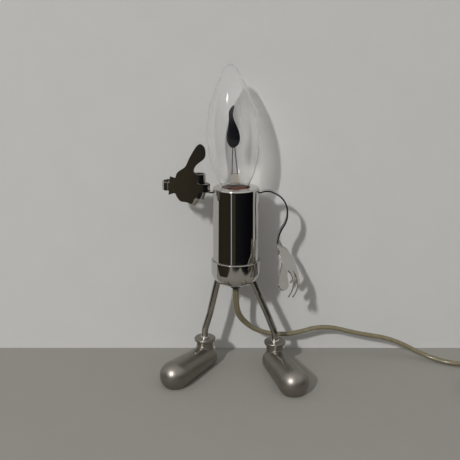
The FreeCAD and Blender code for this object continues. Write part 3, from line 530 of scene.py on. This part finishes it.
def all_materials():
    """One material for each of the record's slots."""
    tint = colours()
    chrome, nickel, boot = tuple(tint.chrome), tuple(tint.nickel), tuple(tint.boot)
    moulding = tuple(tint.moulding)
    return {
        "chrome": plated("mirror_chrome", chrome, 0.03, 0.09, 0.02 * MM, 45.0),
        "nickel_rod": drawn_metal("nickel_rod", nickel, 0.16, 0.26, 0.01 * MM),
        "washers": plated("bright_washer", shade(chrome, 1.1), 0.12, 0.2),
        "boots": cast_metal("satin_casting", boot),
        "zinc_tube": drawn_metal("zinc_tube", (0.5, 0.5, 0.5), 0.25, 0.4, 0.02 * MM),
        "bushing": moulded("black_rubber", (0.012, 0.012, 0.012), 0.45, 900.0, 0.02 * MM),
        "moulding": moulded(
            "brown_moulding", moulding, 0.4, 1200.0, 0.01 * MM, dust_share=0.1, gloss=0.3
        ),
        "contact_brass": drawn_metal("stamped_brass", (0.62, 0.44, 0.16), 0.2, 0.35, 0.01 * MM),
        "screw_steel": drawn_metal("screw_steel", (0.48, 0.47, 0.45), 0.2, 0.35, 0.01 * MM),
        "wire_cover": moulded("wire_cover", tuple(tint.cord), 0.4, 1500.0, 0.01 * MM),
        "cap_metal": drawn_metal("plated_cap", (0.42, 0.30, 0.20), 0.22, 0.34, 0.01 * MM),
        "cap_insulator": moulded("cap_insulator", (0.02, 0.02, 0.03), 0.15, 700.0, 0.01 * MM, coat=0.5),
        "solder": cast_metal("solder", (0.45, 0.45, 0.47)),
        "clear_glass": clear_glass("clear_glass", (1.0, 1.0, 1.0)),
        "stem_glass": clear_glass("stem_glass", (0.93, 0.85, 0.80), 0.03),
        "lead_wire": drawn_metal("lead_wire", (0.16, 0.15, 0.15), 0.25, 0.4, 0.005 * MM),
        "dark_electrode": moulded(
            "dark_electrode", tuple(tint.electrode), 0.5, 2200.0, 0.02 * MM, dust_share=0.02, gloss=0.12
        ),
        "cord_cover": cord_plastic("cord_cover"),
        "plug_moulding": moulded("plug_moulding", tuple(tint.cord), 0.35, 1500.0, 0.02 * MM, coat=0.2),
        "plug_pin_metal": drawn_metal("pin_metal", (0.6, 0.57, 0.5), 0.2, 0.3, 0.01 * MM),
    }


MATERIALS = {}


def dress(thing, slot_name):
    """Gives a piece its slot's material."""
    thing.data.materials.clear()
    thing.data.materials.append(MATERIALS[slot_name])


def slot_of(node):
    """The record's slot of a node."""
    return next(s["material_slot"] for s in frame["record"]["subparts"] if s["node"] == node)


# Operators


class LAMP_OT_camera(bpy.types.Operator):
    """Set the camera in front of the lamp, as the photograph was taken"""

    bl_idname = "lamp.camera"
    bl_label = "Camera"

    def execute(self, context):
        camera = bpy.data.cameras.new("camera")
        camera.sensor_width = 36.0
        camera.lens = sizes().lens
        thing = new_object("camera", camera)
        thing.location = AXIS + Vector(CAMERA_PLACE) * MM
        thing.rotation_euler = (math.pi / 2 - sizes().camera_tilt, 0.0, 0.0)
        context.scene.camera = thing
        return {"FINISHED"}


# The cord's route from the bushing to the coil, in millimetres from the can's axis.
ROUTE = [
    (0.0, 0.0, 60.2),
    (-0.3, 2.0, 44.5),
    (5.0, 8.0, 30.5),
    (19.5, 12.5, 18.8),
    (42.0, 13.8, 16.8),
    (66.0, 14.0, 24.8),
    (92.0, 13.8, 17.8),
    (118.0, 12.0, 14.6),
    (142.0, 7.0, 2.9),
    (160.0, -6.0, 2.3),
    (187.0, -5.5, 2.3),
    (220.0, 11.0, 2.3),
]
# The coil, in millimetres from the can's axis: its middle, the radius at the middle of its turns,
# the distance between neighbouring turns, and the turns in each layer.
COIL_MIDDLE = (255.3, -18.0)
COIL_RADIUS = 24.2
COIL_PITCH = 5.6
COIL_TURNS = 2.0
# The height of the lowest turn's middle, and of a layer as a share of the pitch.
COIL_FLOOR = 2.3
LAYER_SHARE = 0.98
LAYERS = 4
# The share of a turn in which the lead climbs to the next layer.
CLIMB = 0.5
POINTS_A_TURN = 16
# The plug's rear end (how far along X, how high), and the straight runs at both ends of the tail.
PLUG_REAR = (206.0, 7.2)
TAIL_RUN = 16.5
# How far from the bushing the lead comes to lie on its wide side.
LIE_DOWN = 45 * MM


def coil_points():
    """The coil: four layers that spiral in and out again and climb between them."""
    outer = COIL_RADIUS + COIL_TURNS * COIL_PITCH / 2
    inner = outer - COIL_TURNS * COIL_PITCH
    total = LAYERS * COIL_TURNS + (LAYERS - 1) * CLIMB
    points = []
    count = round(total * POINTS_A_TURN)
    for step in range(count + 1):
        turn = total * step / count
        layer = min(int(turn // (COIL_TURNS + CLIMB)), LAYERS - 1)
        along = turn - layer * (COIL_TURNS + CLIMB)
        share = min(along / COIL_TURNS, 1.0)
        inward = layer % 2 == 0
        radius = outer - share * (outer - inner) if inward else inner + share * (outer - inner)
        rise = max(along - COIL_TURNS, 0.0) / CLIMB
        up = layer + 0.5 - 0.5 * math.cos(math.pi * rise)
        angle = math.pi / 2 - 2 * math.pi * turn
        points.append((
            COIL_MIDDLE[0] + radius * math.cos(angle),
            COIL_MIDDLE[1] + radius * math.sin(angle),
            COIL_FLOOR + COIL_PITCH * LAYER_SHARE * up,
        ))
    return points


def cord_line():
    """The cord's middle line: the route, the coil and the tail to the plug."""
    coil = coil_points()
    end_x, end_y, end_z = coil[-1]
    rear, height = PLUG_REAR
    tail = [
        (end_x - TAIL_RUN, end_y, end_z), (rear + TAIL_RUN, end_y, height), (rear, end_y, height),
    ]
    return smooth_line([AXIS + Vector(p) * MM for p in ROUTE + coil + tail], 3, 6)


def twin_section(width, thickness, around=28):
    """The outline of two cores side by side with the web between them."""
    core = thickness / 2
    apart = width / 2 - core
    points = []
    for step in range(around):
        angle = 2 * math.pi * step / around
        across, up = math.cos(angle), math.sin(angle)
        reach = apart * abs(across) + math.sqrt(max(core**2 - (apart * up) ** 2, 0.0))
        points.append((across * reach, up * reach))
    return points


class LAMP_OT_cord(bpy.types.Operator):
    """Lay the flat lead from its bushing through the coil to the plug"""

    bl_idname = "lamp.cord"
    bl_label = "Cord"

    def execute(self, context):
        line = cord_line()
        width, thickness = sizes().cord_width, sizes().cord_thickness
        section = twin_section(width, thickness)
        around = len(section)
        vertices, along, travelled, side = [], [], 0.0, Vector((1.0, 0.0, 0.0))
        for index, place in enumerate(line):
            before, after = line[max(index - 1, 0)], line[min(index + 1, len(line) - 1)]
            heading = (after - before).normalized()
            # the lead leaves the bushing with its wide side to the front and then lies down on it
            flat = Vector((0.0, 0.0, 1.0)).cross(heading)
            flat = flat.normalized() if flat.length > 0.2 else side
            lie = min((place - line[0]).length / LIE_DOWN, 1.0)
            wish = Vector((1.0, 0.0, 0.0)) * (1 - lie) + flat * lie
            if wish.dot(side) < 0:
                wish = -wish
            side = side * 0.7 + wish * 0.3
            side = (side - heading * side.dot(heading)).normalized()
            up = heading.cross(side)
            vertices += [place + side * x + up * y for x, y in section]
            if index:
                travelled += (place - line[index - 1]).length
            along.append(travelled)
        faces, corners = [], []
        for ring in range(len(line) - 1):
            for step in range(around):
                after = (step + 1) % around
                a, b = ring * around + step, ring * around + after
                faces.append((a, b, b + around, a + around))
                left, right = step / around, (step + 1) / around
                corners += [
                    (left, along[ring]), (right, along[ring]),
                    (right, along[ring + 1]), (left, along[ring + 1]),
                ]
        cord = mesh_object("flat_lead", vertices, faces)
        layer = cord.data.uv_layers.new(name="UVMap")
        for corner, (u, v) in zip(layer.data, corners):
            corner.uv = (u, v / width)
        for end in (0, len(line) - 1):
            cap = list(range(end * around, end * around + around))
            self.close(cord, cap if end else cap[::-1])
        dress(cord, "cord_cover")
        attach(cord, FIGURE)
        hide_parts("cord", "cord_coil", "cord_tail")
        return {"FINISHED"}

    def close(self, cord, ring):
        """Closes one end of the tube."""
        work = bmesh.new()
        work.from_mesh(cord.data)
        work.verts.ensure_lookup_table()
        work.faces.new([work.verts[i] for i in ring])
        work.to_mesh(cord.data)
        work.free()


class LAMP_OT_materials(bpy.types.Operator):
    """Make the shared effects and give every frame node its finish"""

    bl_idname = "lamp.materials"
    bl_label = "Finishes"

    def execute(self, context):
        EFFECTS["handling_marks"] = smudge_group()
        EFFECTS["drawn_lines"] = drawn_group()
        EFFECTS["cast_surface"] = cast_group()
        MATERIALS.update(all_materials())
        for name, node in frame["nodes"].items():
            node.data.materials.clear()
            node.data.materials.append(MATERIALS[slot_of(name)])
        return {"FINISHED"}


def softened(node, name):
    """A node's form with its hard inner corners blended, as a casting has them."""
    thing = copy_of(node, name)
    remesh = thing.modifiers.new("even_mesh", "REMESH")
    remesh.mode = "VOXEL"
    remesh.voxel_size = CASTING_VOXEL
    relax = thing.modifiers.new("blend", "SMOOTH")
    relax.factor = 0.5
    relax.iterations = CASTING_ROUNDS
    apply_modifiers(thing)
    shade_smooth(thing.data)
    return thing


class LAMP_OT_boots(bpy.types.Operator):
    """Cast boots with soft corners where the shaft meets the foot"""

    bl_idname = "lamp.boots"
    bl_label = "Boots"

    def execute(self, context):
        for side in ("left", "right"):
            node = f"boot_{side}"
            boot = softened(node, f"cast_boot_{side}")
            dress(boot, "boots")
            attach(boot, node)
            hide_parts(node)
        return {"FINISHED"}


class LAMP_OT_arms(bpy.types.Operator):
    """Sheet-metal arms with the small round edges that tumbling and plating leave"""

    bl_idname = "lamp.arms"
    bl_label = "Arms"

    def execute(self, context):
        sheet = plated("satin_sheet", shade(tuple(colours().chrome), 0.95), 0.10, 0.18, 0.01 * MM, 90.0)
        for side in ("left", "right"):
            node = f"arm_{side}"
            arm = copy_of(node, f"sheet_arm_{side}")
            plain = arm.modifiers.new("join_flats", "DECIMATE")
            plain.decimate_type = "DISSOLVE"
            plain.angle_limit = math.radians(1.0)
            edges = arm.modifiers.new("soft_edges", "BEVEL")
            edges.width = SHEET_ROUND
            edges.segments = 2
            edges.limit_method = "ANGLE"
            edges.angle_limit = math.radians(50)
            edges.harden_normals = True
            apply_modifiers(arm)
            arm.data.materials.clear()
            arm.data.materials.append(sheet)
            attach(arm, node)
            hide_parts(node)
        return {"FINISHED"}


class LAMP_OT_stage(bpy.types.Operator):
    """Pale floor and wall, one soft key light and a plain surround"""

    bl_idname = "lamp.stage"
    bl_label = "Stage"

    def execute(self, context):
        self.backdrop(context)
        self.key_light(context)
        self.surround(context)
        context.scene.view_settings.view_transform = "Standard"
        return {"FINISHED"}

    def backdrop(self, context):
        """A floor, and a wall that is seen through from behind."""
        wall_y = AXIS.y + sizes().wall_gap
        reach, under, tall = FLOOR_REACH, -UNDER_SLAB, WALL_HEIGHT
        slab = [AXIS + Vector((x, y, 0)) for x, y in FLOOR_SLAB]
        floor = mesh_object("floor", slab, [tuple(range(len(slab)))])
        rest = mesh_object(
            "floor_around",
            [
                (-reach, -reach, under), (reach, -reach, under),
                (reach, wall_y, under), (-reach, wall_y, under),
            ],
            [(0, 1, 2, 3)],
        )
        rest.visible_glossy = False
        wall = mesh_object(
            "wall",
            [(-reach, wall_y, 0), (reach, wall_y, 0), (reach, wall_y, tall), (-reach, wall_y, tall)],
            [(0, 1, 2, 3)],
        )
        tint = colours()
        for thing, colour in ((floor, tint.floor), (rest, tint.floor), (wall, tint.wall)):
            material, tree, shader = node_material(thing.name + "_paint")
            colour = tuple(colour)
            paint = two_tones(tree, self.mottle(tree), shade(colour, 0.97), shade(colour, 1.03))
            tree.links.new(paint, shader.inputs["Base Color"])
            shader.inputs["Roughness"].default_value = 0.9
            if thing is wall:
                self.one_sided(tree, shader)
            thing.data.materials.append(material)

    def mottle(self, tree):
        """A faint unevenness of paint."""
        where = tree.nodes.new("ShaderNodeTexCoord")
        return noise(tree, where.outputs["Object"], 40.0, 4.0, 0.6)

    def one_sided(self, tree, shader):
        """Nothing of the wall shows from behind."""
        side = tree.nodes.new("ShaderNodeNewGeometry")
        clear = tree.nodes.new("ShaderNodeBsdfTransparent")
        both = one_of_two(tree, side.outputs["Backfacing"], shader.outputs[0], clear.outputs[0])
        tree.links.new(both, tree.nodes["Material Output"].inputs["Surface"])

    def key_light(self, context):
        """A tall soft box to the front left."""
        light = bpy.data.lights.new("key", "AREA")
        light.shape = "RECTANGLE"
        light.size, light.size_y = KEY_SIDES
        light.energy = KEY_POWER
        light.color = (1.0, 1.0, 0.99)
        thing = new_object("key", light)
        way = Vector(KEY_WAY).normalized()
        thing.location = AXIS + Vector(KEY_AIM) + way * KEY_DISTANCE
        thing.rotation_euler = way.to_track_quat("Z", "Y").to_euler()

    def surround(self, context):
        """A room that is dark in front of the lamp and pale behind and above it."""
        world = bpy.data.worlds.new("room")
        context.scene.world = world
        world.use_nodes = True
        tree = world.node_tree
        plain = tree.nodes["Background"]
        where = tree.nodes.new("ShaderNodeTexCoord")
        split = tree.nodes.new("ShaderNodeSeparateXYZ")
        tree.links.new(where.outputs["Generated"], split.inputs[0])
        back = maths(tree, "MULTIPLY", split.outputs["Y"], -1.0)
        turn = maths(tree, "ARCTAN2", split.outputs["X"], back)
        share = spread(tree, turn, -math.pi, math.pi, 0.0, 1.0)
        bands = tree.nodes.new("ShaderNodeValToRGB")
        tree.links.new(share, bands.inputs[0])
        self.bands(bands.color_ramp)
        lift = spread(tree, split.outputs["Z"], 0.18, 0.45, 0.0, 1.0)
        room = two_tones(tree, lift, bands.outputs["Color"], CEILING)
        near = tree.nodes.new("ShaderNodeVectorMath")
        near.operation = "DOT_PRODUCT"
        tree.links.new(where.outputs["Generated"], near.inputs[0])
        near.inputs[1].default_value = Vector(KEY_WAY).normalized()
        inside = spread(tree, near.outputs["Value"], 0.9965, 0.9985, 0.0, 1.0)
        tree.links.new(two_tones(tree, inside, room, WINDOW), plain.inputs["Color"])
        pale = tree.nodes.new("ShaderNodeBackground")
        pale.inputs["Color"].default_value = (*PALE_ROOM, 1.0)
        path = tree.nodes.new("ShaderNodeLightPath")
        both = one_of_two(tree, path.outputs["Is Camera Ray"], plain.outputs[0], pale.outputs[0])
        tree.links.new(both, tree.nodes["World Output"].inputs["Surface"])

    def bands(self, ramp):
        """Sets a colour ramp to the bands of the room."""
        ramp.elements[0].position = 0.0
        ramp.elements[0].color = (*ROOM_BANDS[0][1], 1.0)
        ramp.elements[1].position = 1.0
        ramp.elements[1].color = (*ROOM_BANDS[-1][1], 1.0)
        for degrees, colour in ROOM_BANDS[1:]:
            stop = ramp.elements.new((degrees + 180) / 360)
            stop.color = (*colour, 1.0)


STEPS = (LAMP_OT_camera, LAMP_OT_materials, LAMP_OT_cord, LAMP_OT_boots, LAMP_OT_arms, LAMP_OT_stage)


class LAMP_PT_panel(bpy.types.Panel):
    """The lamp's sizes, colours and steps"""

    bl_idname = "LAMP_PT_panel"
    bl_label = "Figure lamp"
    bl_space_type = "VIEW_3D"
    bl_region_type = "UI"
    bl_category = "Figure lamp"

    def draw(self, context):
        layout = self.layout
        for group in (context.scene.lamp_sizes, context.scene.lamp_colours):
            for name in group.__annotations__:
                layout.prop(group, name)
        for step in STEPS:
            layout.operator(step.bl_idname)


CLASSES = (LampSizes, LampColours, *STEPS, LAMP_PT_panel)


def register():
    for kind in CLASSES:
        bpy.utils.register_class(kind)
    bpy.types.Scene.lamp_sizes = bpy.props.PointerProperty(type=LampSizes)
    bpy.types.Scene.lamp_colours = bpy.props.PointerProperty(type=LampColours)


def unregister():
    del bpy.types.Scene.lamp_colours
    del bpy.types.Scene.lamp_sizes
    for kind in reversed(CLASSES):
        bpy.utils.unregister_class(kind)


def main():
    register()
    bpy.ops.lamp.camera()
    bpy.ops.lamp.materials()
    bpy.ops.lamp.cord()
    bpy.ops.lamp.boots()
    bpy.ops.lamp.arms()
    bpy.ops.lamp.stage()


if __name__ == "__main__":
    main()
